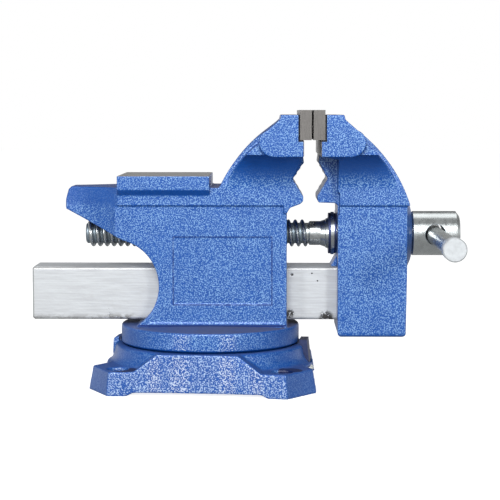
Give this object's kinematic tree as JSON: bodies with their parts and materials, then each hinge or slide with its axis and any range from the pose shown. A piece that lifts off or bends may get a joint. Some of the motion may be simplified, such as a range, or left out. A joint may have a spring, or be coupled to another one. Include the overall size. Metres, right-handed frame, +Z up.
{
  "type": "bench vise",
  "caption": "Cast bench vise on a swivel base, with flat jaw plates, toothed pipe jaws, an anvil with a horn, and a T-handle screw that drives the front jaw along a slide bar.",
  "frame": {"origin": "on the bench, at the centre of the base's bolt circle and on the swivel axis", "axes": "+Z up along the swivel axis, +X along the slide bar towards the front jaw, Y along the jaws"},
  "size_m": [0.2621, 0.1859, 0.1682],
  "materials": {
    "blue_paint": "blue hammertone paint on cast iron",
    "silver_paint": "silver paint, chipped and streaked",
    "ground_steel": "ground",
    "zinc_steel": "zinc plated",
    "dark_steel": "blackened",
    "bare_iron": "bare casting",
    "brass": "turned"
  },
  "bodies": {
    "base": {"swivel_base": "blue_paint", "lock_block": "dark_steel"},
    "lock_pad": {"lock_pad": "brass"},
    "lock_screw": {"lock_screw": "zinc_steel"},
    "body": {"rear_body": "blue_paint", "pivot_bolt": "zinc_steel", "pivot_washer": "zinc_steel", "screw_nut": "bare_iron", "nut_set_screw": "dark_steel", "rear_jaw_plate": "ground_steel", "rear_plate_screws": "dark_steel"},
    "moving_jaw": {"front_jaw": "blue_paint", "slide_bar": "silver_paint", "slide_bar_pin": "dark_steel", "front_jaw_plate": "ground_steel", "front_plate_screws": "dark_steel"},
    "screw": {"main_screw": "zinc_steel", "retaining_collar": "zinc_steel", "retaining_ring": "dark_steel", "thrust_washer": "zinc_steel", "spring_washer": "dark_steel"},
    "handle": {"handle_bar": "zinc_steel", "handle_cap_near": "zinc_steel", "handle_cap_far": "zinc_steel"}
  },
  "joints": [
    {"name": "swivel", "type": "hinge", "parent": "base", "child": "body", "pos_m": [0, 0, 0.0255], "axis": [0, 0, 1], "range_deg": [-120, 120]},
    {"name": "jaw_slide", "type": "slide", "parent": "body", "child": "moving_jaw", "axis": [1, 0, 0], "range_m": [0, 0.0762]},
    {"name": "screw_turn", "type": "hinge", "parent": "moving_jaw", "child": "screw", "pos_m": [0.1, 0, 0.0924], "axis": [1, 0, 0], "range_deg": [0, 6480]},
    {"name": "handle_slide", "type": "slide", "parent": "screw", "child": "handle", "axis": [0, 1, 0], "range_m": [-0.011, 0.095]},
    {"name": "lock_travel", "type": "slide", "parent": "base", "child": "lock_pad", "axis": [0.6004, -0.0578, -0.7976], "range_m": [0, 0.002]},
    {"name": "lock_turn", "type": "hinge", "parent": "lock_pad", "child": "lock_screw", "pos_m": [0.05763, -0.00555, 0.00965], "axis": [0.6004, -0.0578, -0.7976], "range_deg": [0, 720]}
  ],
  "couplings": [
    {"joint": "jaw_slide", "follows": "screw_turn", "m_per_rad": 0.00067375},
    {"joint": "lock_travel", "follows": "lock_turn", "m_per_rad": 0.00015915}
  ]
}
